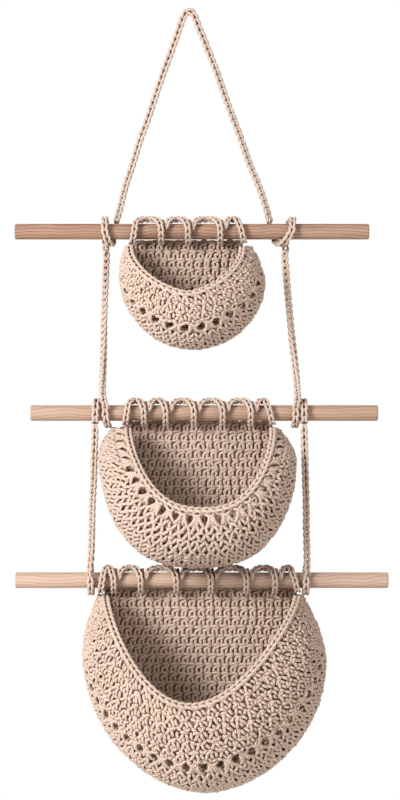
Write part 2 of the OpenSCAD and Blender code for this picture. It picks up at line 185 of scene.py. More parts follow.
@dataclass(frozen=True)
class SandedWood:
    """Unvarnished dowel: straight grain from growth rings, open pores, dry and matt."""

    name: str
    pale: str
    dark: str
    # Painted shade multiplied in at the left and the right end
    near: str
    far: str
    pith_mm: tuple[float, float] = (21.0, 13.0)
    ring_mm: float = 3.4
    reach_mm: float = 190.0

    def material(self) -> bpy.types.Material:
        """Make the material from rings round a pith beside the dowel, in object space."""
        made, tree, shader = new_material(self.name, {
            "Roughness": 0.62, "Specular IOR Level": 0.35})
        node = partial(add_node, tree)
        place = node("TexCoord").outputs["Object"]
        sway = node("TexNoise", {"Vector": place}, {"Scale": 14.0, "Detail": 2.0})
        drift = node("VectorMath", {0: sway.outputs["Color"]}, {1: (0.0, 0.016, 0.016)},
                     operation="MULTIPLY")
        bent = node("VectorMath", {0: place, 1: drift}, operation="ADD")
        centred = node("Mapping", {"Vector": bent}, {
            "Location": (0.0, self.pith_mm[0] * MM, self.pith_mm[1] * MM),
            "Scale": (0.02, 1.0, 1.0)})
        radius = node("VectorMath", {0: centred}, operation="LENGTH").outputs["Value"]
        rings = node("Math", {0: radius}, {1: math.tau / (self.ring_mm * MM)},
                     operation="MULTIPLY")
        wave = node("Math", {0: rings}, operation="SINE")
        late = node("MapRange", {"Value": wave}, {"From Min": 0.2, "From Max": 1.0})
        # Fibres and pores, about half a millimetre across and a dozen long
        fine = node("Mapping", {"Vector": place}, {"Scale": (0.04, 1.0, 1.0)})
        fibre = node("TexNoise", {"Vector": fine}, {"Scale": 1500.0, "Detail": 3.0})
        # Broad stains, some 8 mm across and several centimetres long
        broad = node("Mapping", {"Vector": place}, {"Scale": (0.16, 1.0, 1.0)})
        stain = node("TexNoise", {"Vector": broad}, {"Scale": 120.0, "Detail": 2.0})
        mixed = node("Math", {0: fibre, 2: late}, {1: 0.5}, operation="MULTIPLY_ADD")
        worn = node("Math", {0: stain, 2: mixed}, {1: 1.6}, operation="MULTIPLY_ADD")
        grain = node("MapRange", {"Value": worn}, {"From Min": 0.75, "From Max": 2.2})
        colour = node("ValToRGB", {"Fac": grain}, stops=((0.0, self.pale), (1.0, self.dark)))
        # Painted shade: a tint from the left end to the right end darkens the middle and bottom
        # rails towards the right, away from the key lamp
        along = node("MapRange", {"Value": node("SeparateXYZ", {0: place})}, {
            "From Min": -self.reach_mm * MM, "From Max": self.reach_mm * MM})
        tint = node("ValToRGB", {"Fac": along}, stops=((0.0, self.near), (1.0, self.far)))
        final = node("Mix", {6: colour, 7: tint}, {0: 1.0}, data_type="RGBA",
                     blend_type="MULTIPLY")
        tree.links.new(final.outputs[2], shader.inputs["Base Color"])
        bump = node("Bump", {"Height": grain}, {"Strength": 0.25, "Distance": 0.1 * MM},
                    invert=True)
        tree.links.new(bump.outputs[0], shader.inputs["Normal"])
        return made


# Mercerised cotton in two copies: the cords' copy is a touch lighter, painted light because the
# cords catch a little more light than the worked fabric
CORD_COTTON = CottonYarn("plied_cotton_cord", "#F1E3D9", "#BC9F8D")
WORKED_COTTON = CottonYarn("plied_cotton_crochet", "#F1E2D7", "#B89A87")
# Each rail's wood: pale and dark grain, and the painted shade at its left and right end, which
# darkens the middle and bottom rails towards the right, away from the key lamp
REDDISH_WOOD = SandedWood("sanded_reddish_dowel", "#BDA18F", "#946F5B", "#FFF8F5", "#FFFFFF")
MIDDLE_WOOD = SandedWood("sanded_beech_dowel", "#D3BAAB", "#B99784", "#FFFFFF", "#E9E2DA",
                         (17.0, -19.0))
BOTTOM_WOOD = SandedWood("sanded_pale_dowel", "#DEC8B8", "#C6A591", "#FFFFFF", "#EEEEEE",
                         (-14.0, 22.0))


# Yarn

def unit(vectors: Array) -> Array:
    """Scale each vector to a length of 1."""
    return vectors / np.maximum(np.linalg.norm(vectors, axis=-1, keepdims=True), 1e-9)


def distances(line: Array) -> Array:
    """Measure how far along a line each of its points lies."""
    return np.concatenate([[0], np.cumsum(np.linalg.norm(np.diff(line, axis=0), axis=1))])


def sampled(at: Array, stations: Array, table: Array) -> Array:
    """Read a table's columns between its rows.

    Args:
        at: The places to read at.
        stations: The place of each row.
        table: The rows.

    Returns:
        One row for each place.
    """
    return np.stack([np.interp(at, stations, column) for column in table.T], 1)


def rounded(points: Array, steps: int) -> Array:
    """Run a smooth curve through points.

    Args:
        points: The points, one a row.
        steps: Points made from each stretch.

    Returns:
        The denser row of points.
    """
    ends = np.vstack([2 * points[0] - points[1], points, 2 * points[-1] - points[-2]])
    a, b, c, d = ends[:-3], ends[1:-2], ends[2:-1], ends[3:]
    t = (np.arange(steps) / steps)[None, :, None]
    a, b, c, d = (v[:, None, :] for v in (a, b, c, d))
    made = 0.5 * (2 * b + (c - a) * t + (2 * a - 5 * b + 4 * c - d) * t ** 2
                  + (3 * b - a - 3 * c + d) * t ** 3)
    return np.vstack([made.reshape(-1, 3), points[-1:]])


def show(thing: bpy.types.Object) -> bpy.types.Object:
    """Put an object into the scene, and give it back."""
    bpy.context.collection.objects.link(thing)
    return thing


@dataclass(frozen=True)
class Spool:
    """Turns centrelines into yarn."""

    thickness: float = 3.5
    sides: int = 6

    def piece(self, name: str, strands: list[Array], finish: CottonYarn) -> bpy.types.Object:
        """Sweep strands into one mesh, with a map of length and girth for the twist.

        Args:
            name: The piece's name.
            strands: Centrelines in millimetres.
            finish: The yarn's finish.

        Returns:
            The mesh object.
        """
        curve = bpy.data.curves.new(name, "CURVE")
        curve.dimensions = "3D"
        curve.bevel_depth = self.thickness / 2 * MM
        curve.bevel_resolution = (self.sides - 4) // 2
        for strand in strands:
            spline = curve.splines.new("POLY")
            spline.points.add(len(strand) - 1)
            spline.points.foreach_set("co", np.c_[strand * MM, np.ones(len(strand))].ravel())
        sweep = show(bpy.data.objects.new(name + "_sweep", curve))
        bpy.context.view_layer.update()
        mesh = bpy.data.meshes.new_from_object(
            sweep.evaluated_get(bpy.context.evaluated_depsgraph_get()))
        bpy.data.objects.remove(sweep)
        bpy.data.curves.remove(curve)
        mesh.name = name
        self._map(mesh, strands)
        shape = bmesh.new()
        shape.from_mesh(mesh)
        bmesh.ops.holes_fill(shape, edges=[e for e in shape.edges if e.is_boundary],
                             sides=self.sides)
        shape.to_mesh(mesh)
        shape.free()
        piece = show(bpy.data.objects.new(name, mesh))
        piece.data.materials.clear()
        piece.data.materials.append(finish.material())
        return piece

    def _map(self, mesh: bpy.types.Mesh, strands: list[Array]) -> None:
        """Write the strand map: millimetres along the yarn, and the share of the way round."""
        along = np.repeat(np.concatenate([distances(s) for s in strands]), self.sides)
        around = np.tile(np.arange(self.sides), sum(len(s) for s in strands))
        corners = np.empty(len(mesh.loops), dtype=np.int32)
        mesh.loops.foreach_get("vertex_index", corners)
        starts = np.empty(len(mesh.polygons), dtype=np.int32)
        mesh.polygons.foreach_get("loop_start", starts)
        owner = np.searchsorted(starts, np.arange(len(corners)), side="right") - 1
        side = around[corners]
        last = np.zeros(len(starts), dtype=bool)
        np.logical_or.at(last, owner, side == self.sides - 1)
        girth = np.where(last[owner] & (side == 0), self.sides, side) / self.sides
        chart = mesh.uv_layers.new(name="strand")
        chart.data.foreach_set("uv", np.c_[along[corners], girth].astype(np.float32).ravel())
        mesh.polygons.foreach_set("use_smooth", np.ones(len(mesh.polygons), dtype=bool))


@dataclass
class Route:
    """A centreline and the way its front faces, in millimetres."""

    points: Array
    fronts: Array
    sizes: Array | None = None
    steps: int = 6

    def __post_init__(self) -> None:
        """Sample the line at about each millimetre and square the fronts to it."""
        line = rounded(np.asarray(self.points, float), self.steps)
        faces = rounded(np.asarray(self.fronts, float), self.steps)
        lengths = distances(line)
        self.length = float(lengths[-1])
        self.stations = np.linspace(0, self.length, max(12, int(self.length)))
        self.line = sampled(self.stations, lengths, line)
        faces = sampled(self.stations, lengths, faces)
        ahead = unit(np.gradient(self.line, axis=0))
        faces = unit(faces - ahead * np.sum(faces * ahead, axis=1, keepdims=True))
        self.frames = np.stack([np.cross(ahead, faces), faces], 1)
        sizes = np.ones(len(self.points)) if self.sizes is None else self.sizes
        sizes = rounded(np.repeat(np.reshape(sizes, (-1, 1)), 3, 1), self.steps)
        self.size = np.interp(self.stations, lengths, sizes[:, 0])

    def at(self, along: Array, aside: Array, out: Array) -> Array:
        """Give the points that lie along, beside and in front of the line.

        Args:
            along: Distances along the line.
            aside: Distances to its side.
            out: Distances to its front.

        Returns:
            One point a row.
        """
        along = np.clip(along, 0, self.length)
        line, sides, fronts = (sampled(along, self.stations, table) for table in (
            self.line, self.frames[:, 0], self.frames[:, 1]))
        return line + sides * aside[:, None] + fronts * out[:, None]


@dataclass(frozen=True)
class ChainStitch:
    """Crochet chain: each link's two legs lie in front, its head behind the next link's foot.

    A link's points are shares of the pitch, of half the width and of the yarn's radius. The
    last link overruns by a share of the pitch, and its legs stay apart by some millimetres.
    """

    width: float = 8.0
    pitch: float = 6.9
    yarn: float = 2.9
    overrun: float = 0.45
    lift: float = 0.28
    relief: float = 1.12
    least_w: float = 0.6
    link: Table = (
        (0.00, -0.28, -0.70), (0.20, -0.48, 0.55), (0.60, -0.76, 1.10), (1.02, -1.00, 0.60),
        (1.33, -0.66, -0.45), (1.43, 0.00, -0.70), (1.33, 0.66, -0.45), (1.02, 1.00, 0.60),
        (0.60, 0.76, 1.10), (0.20, 0.48, 0.55), (0.00, 0.28, -0.70), (0.30, 0.10, -1.65),
        (0.70, -0.10, -1.65))

    def strand(self, route: Route) -> Array:
        """Lay the chain's single yarn along a route.

        Args:
            route: The chain's centreline.

        Returns:
            The yarn's own centreline.
        """
        count = max(2, round(route.length / self.pitch - self.overrun))
        pitch = route.length / (count + self.overrun)
        link = np.array(self.link)
        along = (np.arange(count)[:, None] + link[None, :, 0]).ravel() * pitch
        share = np.interp(along, route.stations, route.size)
        apart = np.maximum(self.width * share - self.yarn, self.least_w)
        aside = np.tile(link[:, 1], count) * apart / 2
        out = (np.tile(link[:, 2], count) + self.lift) * self.yarn / 2 * self.relief * share
        return rounded(route.at(along, aside, out), 2)

    def piece(self, name: str, route: Route, body: str, node: str) -> bpy.types.Object:
        """Chain a piece along a route.

        Args:
            name: The piece's name.
            route: The chain's centreline.
            body: The body that it rides on.
            node: The node that it stands for.

        Returns:
            The piece.
        """
        piece = Spool(self.yarn).piece(name, [self.strand(route)], CORD_COTTON)
        finish_piece(piece, body, node)
        return piece


# Rails and the cords round them

@dataclass(frozen=True)
class Rail:
    """A round rail, seen as the axis that cords wind round: its height and the radii there."""

    z: float
    surface: float = 8.35
    turn_radius: float = 12.1

    def wrap(self, x: Array, radius: float | Array, angle: Array) -> tuple[Array, Array]:
        """Give places on a turn, and which way is outward there.

        Args:
            x: Places along the rail.
            radius: The turn's radius.
            angle: Degrees, 0 at the front and 90 on top.

        Returns:
            The points and the outward directions.
        """
        a = np.radians(angle)
        out = np.stack([np.zeros_like(a), -np.cos(a), np.sin(a)], 1)
        points = out * np.reshape(radius, (-1, 1))
        points[:, 0] += x
        points[:, 2] += self.z
        return points, out


# How a cord hangs: its depth in percent of a turn's radius, and how far down it is in percent
HANGER_HALF = ((100, 100), (100, 92), (92, 81), (83, 71), (67, 60), (58, 50), (42, 40), (25, 29),
               (17, 20), (8, 11.5), (0, 6), (0, 2), (0, -0.7))
HANGER_WAY = (*HANGER_HALF, (0, -1.8), *HANGER_HALF[::-1])
UPPER_WAY = ((100, 0), (100, 6), (75, 20), (42, 34), (8, 48), (-25, 62), (-58, 75), (-88, 86),
             (-100, 93), (-100, 97.5), (-100, 100))
LOWER_WAY = tuple((-100, down) for down in (0, 7, 20, 36, 52, 68, 82, 91, 96, 100))
SIDES = ("left", "right")


@dataclass
class CordWork:
    """The hanger, the side cords and the hitches that tie them to the rails, in millimetres."""

    top: Rail
    middle: Rail
    bottom: Rail
    chain: ChainStitch = ChainStitch()
    radius: float = 3.75
    stated_diameter: float = 7.8
    hanger_foot: float = 9.0
    lead_up: float = 5.0
    lead_down: float = 20.0
    lead_turn: float = 60.0
    gap: float = 0.3
    tuck: float = 2.0
    hanger_x: tuple[float, ...] = (
        -74.5, -70, -64, -57, -50, -42, -35, -27, -20, -13.5, -9.5, -6.5, -3.5, 0,
        3.5, 6.5, 9.5, 14.5, 21.5, 29, 37, 45, 53, 61, 70, 78, 82.5)
    upper_x: Table = (
        (-85.5, -85.5, -86, -86.5, -87, -87.5, -88, -88.5, -87.5, -85, -85),
        (99, 99, 100.5, 102, 104, 106.5, 109, 110.5, 110.5, 108.5, 108.5))
    lower_x: Table = (
        (-95.5, -95.5, -96, -96.5, -97.5, -98, -98.5, -99.5, -100, -100),
        (117, 117, 117.5, 118, 118.5, 118.5, 119, 119, 119, 119))
    # The way that each side cord's front faces at both ends, in degrees from the front
    upper_facing: Table = ((150, -10), (-150, 20))
    lower_facing: Table = ((10, -60), (-10, 50))
    hanger_facing: tuple[float, float] = (-25, 35)
    # Where each hitch lies along its rail at each quarter of its turn
    top_turns: Table = (
        (-76.5, -79.5, -85.5, -86, -85.5), (84.5, 92.5, 104.5, 106, 99))
    middle_turns: Table = (
        (-85, -82, -87.5, -94, -95), (108.5, 107.5, 112, 116.5, 117))
    bottom_turns: Table = (
        (-100, -100, -100.5, -101), (119, 119, 119.5, 120))

    def hung(self, places: tuple[float, ...], way: Table,
             top: float, bottom: float) -> Array:
        """Hang a cord between two heights.

        Args:
            places: Its places from left to right.
            way: Its depth and its way down, both in percent.
            top: The height at the start.
            bottom: The height at the end.

        Returns:
            The route's points.
        """
        depth, down = np.array(way, float).T
        return np.stack([np.array(places, float), self.top.turn_radius * depth / 100,
                         top + (bottom - top) * down / 100], 1)

    def hanger(self) -> Array:
        """Give the hanger's route, from hitch to hitch over the nail."""
        return self.hung(self.hanger_x, HANGER_WAY, 0, self.top.z + self.hanger_foot)

    def cord(self, name: str, body: str, points: Array, turn: tuple[float, float]) -> None:
        """Args:
            name: The cord's name.
            body: The body that it rides on.
            points: The cord's route.
            turn: The way its front faces at both ends, in degrees from the front.
        """
        facing = np.radians(np.linspace(turn[0], turn[1], len(points)))
        fronts = np.stack([np.sin(facing), -np.cos(facing), np.zeros_like(facing)], 1)
        route = Route(points, fronts)
        piece = self.chain.piece(f"{name}_chain", route, body, f"{name}_cord")
        path = route.line[::3]
        if (len(route.line) - 1) % 3:
            path = np.vstack([path, route.line[-1:]])

    def free_cords(self) -> None:
        """Make the five free cords, their ends tucked into the hitches."""
        turn = self.top.turn_radius
        inner = turn - self.radius
        lower_top = (self.middle.z + self.tuck
                     - math.sqrt((turn + self.radius + self.gap) ** 2 - inner ** 2))
        upper_top = self.top.z - self.lead_down - self.gap + self.tuck
        upper_end = self.middle.z + self.lead_up + self.gap - self.tuck
        lower_end = self.bottom.z + self.lead_up + self.gap - self.tuck
        self.cord("hanger", "hanger", self.hanger(), self.hanger_facing)
        for side, places, facing in zip(SIDES, self.upper_x, self.upper_facing):
            self.cord(f"upper_{side}", "middle_tier",
                      self.hung(places, UPPER_WAY, upper_top, upper_end), facing)
        for side, places, facing in zip(SIDES, self.lower_x, self.lower_facing):
            self.cord(f"lower_{side}", "bottom_tier",
                      self.hung(places, LOWER_WAY, lower_top, lower_end), facing)

    def turn(self, rail: Rail, start: float, direction: int, places: tuple[float, ...],
             more: float = 0.0) -> tuple[Array, Array]:
        """Wind a cord round a rail.

        Args:
            rail: The rail.
            start: The angle of the first point.
            direction: 1 or -1.
            places: Where the turn lies along the rail at each quarter.
            more: Degrees that it runs on past the last quarter.

        Returns:
            The points and the outward directions.
        """
        angle = np.arange(0, 90 * (len(places) - 1) + more + 1, 15.0)
        x = np.interp(angle / 90, np.arange(len(places)), places)
        over = np.maximum(angle / 90 - (len(places) - 1), 0)
        x += over * (places[-1] - places[-2])
        return rail.wrap(x, rail.turn_radius, start + direction * angle)

    def hitches(self) -> None:
        """Make the six hitches."""
        hanger = self.hanger()
        for side, places, start in zip(SIDES, self.top_turns, (hanger[0], hanger[-1])):
            points, out = self.turn(self.top, 180, 1, places)
            end = points[-1] - (0, 0, self.lead_down)
            route = Route(np.vstack([start, points, end]), np.vstack([out[:1], out, out[-1:]]))
            self.chain.piece(f"top_{side}_hitch_chain", route, "hanger", f"top_{side}_hitch")
        for name, rail, turns, more in (
                ("middle", self.middle, self.middle_turns, self.lead_turn),
                ("bottom", self.bottom, self.bottom_turns, 0.0)):
            for side, places in zip(SIDES, turns):
                points, out = self.turn(rail, 0, -1, places, more)
                route = Route(np.vstack([points[0] + (0, 0, self.lead_up), points]),
                              np.vstack([out[:1], out]))
                self.chain.piece(f"{name}_{side}_hitch_chain", route, f"{name}_tier",
                                 f"{name}_{side}_hitch")


# The pouches

class Stitch(Enum):
    """The ways that a row is worked."""

    DENSE = "single stitches"
    TALL = "tall stitches"
    SHELL = "pairs of tall stitches, set close"
    EYELET = "pairs of tall stitches with holes between them"


@dataclass(frozen=True)
class Row:
    """A row of stitches: how it is worked, its height and its repeat in millimetres."""

    stitch: Stitch
    height: float
    pitch: float


@dataclass(frozen=True)
class Strand:
    """One repeat of a strand: share of the repeat, share of the row's height, depth in mm."""

    points: Table
    repeats: int = 1
    shift: float = 0.0
    steps: int = 2


def mirrored(half: Table) -> Table:
    """Add a stitch's right half to its left one."""
    return (*half, *((round(1 - x, 2), y, z) for x, y, z in half[::-1]))


# The threads behind a row's face: slanting ones, a level one where rows meet, and both
BACKING = ((0.00, 1.02, -4.5), (0.25, 0.52, -4.9), (0.50, 0.02, -4.4), (0.75, 0.52, -4.9))
COURSE = Strand(((0.0, 0.0, -4.8), (0.5, 0.0, -4.8)), 1, 0.0, 1)
MESH = (Strand(BACKING, 2, 0.0, 1), Strand(BACKING, 2, 0.5, 1), COURSE)
PATTERNS: dict[Stitch, tuple[Strand, ...]] = {
    Stitch.DENSE: (
        Strand(((0.02, -0.02, -4.0), (0.12, 0.16, -1.7), (0.26, 0.48, -0.5), (0.41, 0.84, -1.3),
                (0.50, 1.06, -4.0), (0.59, 0.84, -1.3), (0.74, 0.48, -0.5), (0.88, 0.16, -1.7))),
        Strand(mirrored(((0.16, 1.04, -4.2), (0.28, 0.98, -1.9), (0.42, 0.92, -0.7)))),
        Strand(BACKING, 1, 0.0, 1), Strand(BACKING, 1, 0.5, 1)),
    Stitch.TALL: (
        Strand(((0.06, 0.10, -2.8), (0.28, 0.00, -1.5), (0.62, 0.00, -1.1), (0.87, 0.11, -1.6),
                (0.72, 0.25, -1.0), (0.36, 0.34, -0.9), (0.19, 0.48, -1.2), (0.20, 0.74, -1.5),
                (0.30, 0.98, -2.6), (0.44, 1.06, -4.2), (0.58, 0.96, -2.8), (0.69, 0.70, -1.4),
                (0.66, 0.46, -1.5), (0.76, 0.31, -3.2), (0.92, 0.18, -4.4))),
        *MESH),
    Stitch.SHELL: (
        Strand(mirrored((
            (0.02, 0.84, -4.4), (0.09, 0.74, -1.9), (0.19, 0.80, -0.5), (0.29, 0.92, -1.3),
            (0.34, 0.98, -3.6), (0.28, 0.76, -4.6), (0.24, 0.62, -2.3), (0.29, 0.42, -0.4),
            (0.38, 0.20, -0.8), (0.45, 0.06, -3.0)))),
        Strand((*mirrored(((0.24, 0.16, -4.4), (0.32, 0.05, -1.9), (0.43, -0.03, -0.4))),
                (1.00, 0.30, -5.0))),
        Strand(((0.42, 0.44, -4.0), (0.46, 0.58, -1.7), (0.53, 0.76, -0.8), (0.57, 0.94, -3.2),
                (0.75, 0.60, -5.0), (0.90, 0.06, -3.4), (0.96, 0.20, -1.2), (1.03, 0.38, -0.9),
                (1.09, 0.56, -3.2), (1.25, 0.50, -5.0))),
        *MESH),
    Stitch.EYELET: (
        Strand(mirrored((
            (0.02, 1.08, -3.6), (0.14, 0.92, -1.4), (0.28, 0.66, -0.6), (0.36, 0.34, -0.8),
            (0.42, 0.02, -3.2)))),
        Strand((*mirrored((
            (0.36, 1.08, -3.0), (0.40, 0.72, -1.4), (0.44, 0.36, -1.3), (0.47, 0.08, -2.6))),
            (0.80, 1.08, -4.6), (1.00, 1.04, -4.8), (1.20, 1.08, -4.6))),
        Strand(((0.00, 0.02, -3.0), (0.18, -0.03, -2.2), (0.30, 0.10, -0.9), (0.50, 0.22, -0.5),
                (0.70, 0.10, -0.9), (0.82, -0.03, -2.2))),
        Strand(((0.00, 0.00, -4.6), (0.25, 0.02, -4.6), (0.36, 0.50, -4.4), (0.25, 0.92, -4.6),
                (0.50, 1.04, -4.6), (0.75, 0.92, -4.6), (0.64, 0.50, -4.4), (0.75, 0.02, -4.6)))),
}


# How far handwork strays: a stitch's size and lean as shares, the rest in millimetres
SIZE_STRAY, LEAN_STRAY, DROP_STRAY, DEPTH_STRAY = 0.06, 0.14, 0.35, 0.3
POINT_STRAY = (0.28, 0.28, 0.14)
# Where yarn may lie behind and in front of the fabric's face, and the fabric's middle
DEEPEST, HIGHEST, CORE = -5.0, 0.2, -3.0


def work(row: Row, width: float, shifted: bool, hand: np.random.Generator) -> list[Array]:
    """Work a row of stitches on the flat.

    Args:
        row: The row's kind and sizes.
        width: Its length in millimetres.
        shifted: Whether it is worked half a repeat to the side.
        hand: The small unevenness of work done by hand.

    Returns:
        For each strand its places along the row, down from the row's edge and in front of it.
    """
    count = max(1, round(width / row.pitch))
    strands = []
    for strand in PATTERNS[row.stitch]:
        repeats = count * strand.repeats
        real = width / repeats
        phase = (0.5 if shifted and strand.repeats == 1 else 0.0) + strand.shift
        points = np.array(strand.points)
        starts = (np.arange(repeats + math.ceil(phase)) - phase) * real
        # Each stitch differs a little in size, height, lean and how far it stands out
        size = hand.normal(1, SIZE_STRAY, (len(starts), 1))
        drop = hand.normal(0, DROP_STRAY, (len(starts), 1))
        lean = hand.normal(0, LEAN_STRAY, (len(starts), 1)) * min(row.height, row.pitch)
        x = (starts[:, None] + real * (0.5 + (points[None, :, 0] - 0.5) * size)
             + lean * (0.5 - points[None, :, 1])).ravel()
        y = (drop + points[None, :, 1] * row.height * size).ravel()
        z = (points[None, :, 2] + hand.normal(0, DEPTH_STRAY, (len(starts), 1))).ravel()
        keep = (x > -0.4) & (x < width + 0.4)
        if np.count_nonzero(keep) < 4:
            continue
        line = np.stack([x[keep], y[keep], z[keep]], 1)
        line += hand.normal(0, 1, line.shape) * POINT_STRAY
        line[:, 2] = np.clip(line[:, 2], DEEPEST, HIGHEST)
        strands.append(rounded(line, strand.steps) if strand.steps > 1 else line)
    return strands


@dataclass
class Fabric:
    """A curved sheet charted by distance from its first edge, on which rows are worked."""

    places: Array
    normals: Array
    lengths: Array

    def at(self, column: Array, down: Array, out: Array) -> Array:
        """Give points on the sheet.

        Args:
            column: Places across the sheet, in columns.
            down: Distances from its first edge.
            out: Distances in front of it.

        Returns:
            One point a row.
        """
        i = np.clip(column, 0, self.places.shape[0] - 1.001)
        j = np.clip(down, 0, self.places.shape[1] - 1.001)
        i0, j0 = i.astype(int), j.astype(int)
        fi, fj = (i - i0)[:, None], (j - j0)[:, None]
        read = lambda t: ((t[i0, j0] * (1 - fj) + t[i0, j0 + 1] * fj) * (1 - fi)
                          + (t[i0 + 1, j0] * (1 - fj) + t[i0 + 1, j0 + 1] * fj) * fi)
        return read(self.places) + unit(read(self.normals)) * out[:, None]

    def across(self, down: float) -> tuple[Array, Array]:
        """Measure a row's line at a distance from the first edge.

        Args:
            down: The distance.

        Returns:
            The columns that it crosses, and the length up to each.
        """
        inside = np.flatnonzero(self.lengths > down - 1.5)
        if len(inside) < 4:
            return np.zeros(1), np.zeros(1)
        columns = np.arange(inside[0], inside[-1] + 1, dtype=float)
        line = self.at(columns, np.full(len(columns), down), np.full(len(columns), CORE))
        return columns, distances(line)


# The lacing's points: millimetres beside its turn, angle, air over the rail, and share of its
# thickness
LACE_START = ((-4, -74, 0.1, 1), (-3.4, -50, 0.2, 1), (-2.6, -26, 0.4, 1), (-1.6, -2, 0.6, 1),
              (-0.8, 20, 0.8, 1), (0.2, 44, 1, 1))
LACE_FOOT = ((1.6, 60, 0.1, 0.53), (1.8, 38, 0.1, 0.53), (2.6, 19, 0.1, 0.53),
             (4.3, 8, 0.4, 0.56), (5.6, 20, 0.9, 0.67), (6.6, 44, 1, 0.9))
LACE_TURN = ((-2.4, 38, 2.4, 1), (-0.6, 18, 3.2, 1), (0, -2, 2.4, 1), (0, -26, 0.8, 1),
             (0, -50, 0.2, 1), (0, -74, 0.1, 1), (0, -98, 0.1, 0.87), (0.3, -122, 0.1, 0.7),
             (0.6, -148, 0.15, 0.57), (0.9, -175, 0.2, 0.53), (1.1, -202, 0.2, 0.53),
             (1.3, -229, 0.2, 0.53), (1.4, -255, 0.2, 0.53), (1.5, -280, 0.2, 0.53))
LACE_END = ((-2.4, 38, 1, 1), (-0.4, 18, 0.8, 1), (1, -2, 0.6, 1), (2.2, -26, 0.4, 1),
            (3.2, -50, 0.2, 1), (4, -74, 0.1, 1))
# The arch between its feet: share of the way instead of millimetres
LACE_ARCH = ((0.2, 66, 1, 1), (0.45, 83, 1.2, 1), (0.7, 80, 1.2, 1), (0.9, 59, 1.4, 1))


@dataclass
class Pouch:
    """A half-bowl pouch: its flat back, its bowl, its edging and its lacing.

    Sizes are in millimetres. Drops start at the rail and depths at its axis, a lean or a shift
    goes to the right, and a bend is the powers that round an outline sideways and downwards.
    """

    name: str
    rail: Rail
    body: str
    lacing_body: str
    x: float
    mouth_w: float
    mouth_h: float
    mouth_lean: float
    mouth_shift: float
    mouth_bend: tuple[float, float]
    neck_w: float
    w: float
    widest: float
    h: float
    lean: float
    shift: float
    bend: tuple[float, float]
    depth: float
    belly: float
    lace_w: float
    turns: tuple[float, ...]
    bowl_rows: list[Row]
    dense_row: Row
    panel_row: Row
    seed: int
    lacing_d: float = 6.0
    lacing_chain: ChainStitch = ChainStitch(width=7.2, pitch=6.0, yarn=2.7)
    edging_w: float = 7.5
    edging_lap: float = 0.8
    edging_depth: float = 2.4
    edging_chain: ChainStitch = ChainStitch(width=8.6, pitch=7.0, yarn=3.4)
    # Degrees from the rail that the shoulder reaches, and where the skin starts round its column
    shoulder: float = 34.0
    neck_start: float = 42.0
    mouth_start: float = -18.0
    start_power: float = 0.7
    neck_depth: float = 15.0
    depth_power: float = 0.8
    clear_radius: float = 15.1
    panel_y: float = 9.85
    panel_top: float = 8.8
    panel_start: float = 0.8
    panel_squash: float = 0.86
    panel_back: float = 4.2
    per_piece: int = 6
    across: int = 90
    columns: Array = field(default_factory=lambda: np.linspace(0, 180, 361))

    def _below(self, drop: Array, full: float) -> Array:
        """Squeeze drops so that they start below the lacing."""
        return self.clear_radius + drop * (full - self.clear_radius) / full

    def _outline(self, s: Array) -> tuple[Array, Array]:
        """Give the pouch's outline in front view as x and drop, for s from 0 to 180."""
        fold = np.minimum(s, 180 - s)
        side = np.where(s < 90, -1, 1)
        lower = np.radians(np.clip(90 * (fold - self.shoulder) / (90 - self.shoulder), 0, 90))
        upper = fold < self.shoulder
        half = np.where(upper, self.neck_w / 2 + (self.w - self.neck_w) / 2
                        * np.sin(np.radians(90 * np.minimum(fold, self.shoulder) / self.shoulder)),
                        self.w / 2 * np.cos(lower).clip(0) ** self.bend[0])
        drop = np.where(upper, self.widest * fold / self.shoulder,
                        self.widest + (self.h - self.widest) * np.sin(lower) ** self.bend[1])
        lean = self.lean * np.sin(np.radians(np.minimum(90, 45 * drop / self.widest)))
        return self.x + self.shift + lean + side * half, self._below(drop, self.h)

    def _mouth(self, s: Array) -> tuple[Array, Array]:
        """Give the mouth's edge in front view as x and drop, for s from 0 to 180."""
        fold = np.radians(np.minimum(s, 180 - s))
        side = np.where(s < 90, -1, 1)
        drop = self.mouth_h * np.sin(fold).clip(0) ** self.mouth_bend[1]
        half = self.mouth_w / 2 * np.cos(fold).clip(0) ** self.mouth_bend[0]
        return (self.x + self.mouth_shift + self.mouth_lean * drop / self.mouth_h + side * half,
                self._below(drop, self.mouth_h))

    def skin(self, s: Array, w: Array) -> Array:
        """Give points of the bowl's outer skin.

        Args:
            s: Degrees round the pouch, 0 at the rail on the left and 180 on the right.
            w: 0 at the mouth, 1 at the seam.

        Returns:
            Points, with the last axis x, y and z.
        """
        k = np.sin(np.radians(s)).clip(0)
        line = -self.belly * k
        column = (self.neck_depth
                  + (self.depth - self.belly - self.neck_depth) * k ** self.depth_power)
        start = self.neck_start + (self.mouth_start - self.neck_start) * k ** self.start_power
        seam = 90 + np.degrees(np.arcsin(np.minimum(1, (self.panel_y - line) / column)))
        angle = np.radians(start + (seam - start) * w)
        first = np.sin(np.radians(start))
        out = (np.sin(angle) - first) / (1 - first)
        mx, mz = self._mouth(s)
        ox, oz = self._outline(s)
        return np.stack([mx + (ox - mx) * out, line - column * np.cos(angle),
                         self.rail.z - (mz + (oz - mz) * out)], -1)

    def fabric(self) -> Fabric:
        """Chart the bowl by distance from the mouth, one millimetre a step."""
        s = self.columns[:, None] * np.ones((1, self.across))
        w = np.linspace(0, 1, self.across)[None, :] * np.ones((len(self.columns), 1))
        grid = self.skin(s, w)
        normals = unit(np.cross(np.gradient(grid, axis=0), np.gradient(grid, axis=1)))
        heart = np.array([self.x, -self.belly, self.rail.z - (self.mouth_h + self.h) / 2])
        flip = np.sum(normals * (grid - heart), axis=-1, keepdims=True) < 0
        normals = np.where(flip, -normals, normals)
        lengths = np.stack([distances(row) for row in grid])
        downs = np.arange(0, lengths[:, -1].max() + 12, 1.0)
        places, faces = (np.stack([sampled(downs, *pair) for pair in zip(lengths, table)])
                         for table in (grid, normals))
        return Fabric(places, faces, lengths[:, -1])

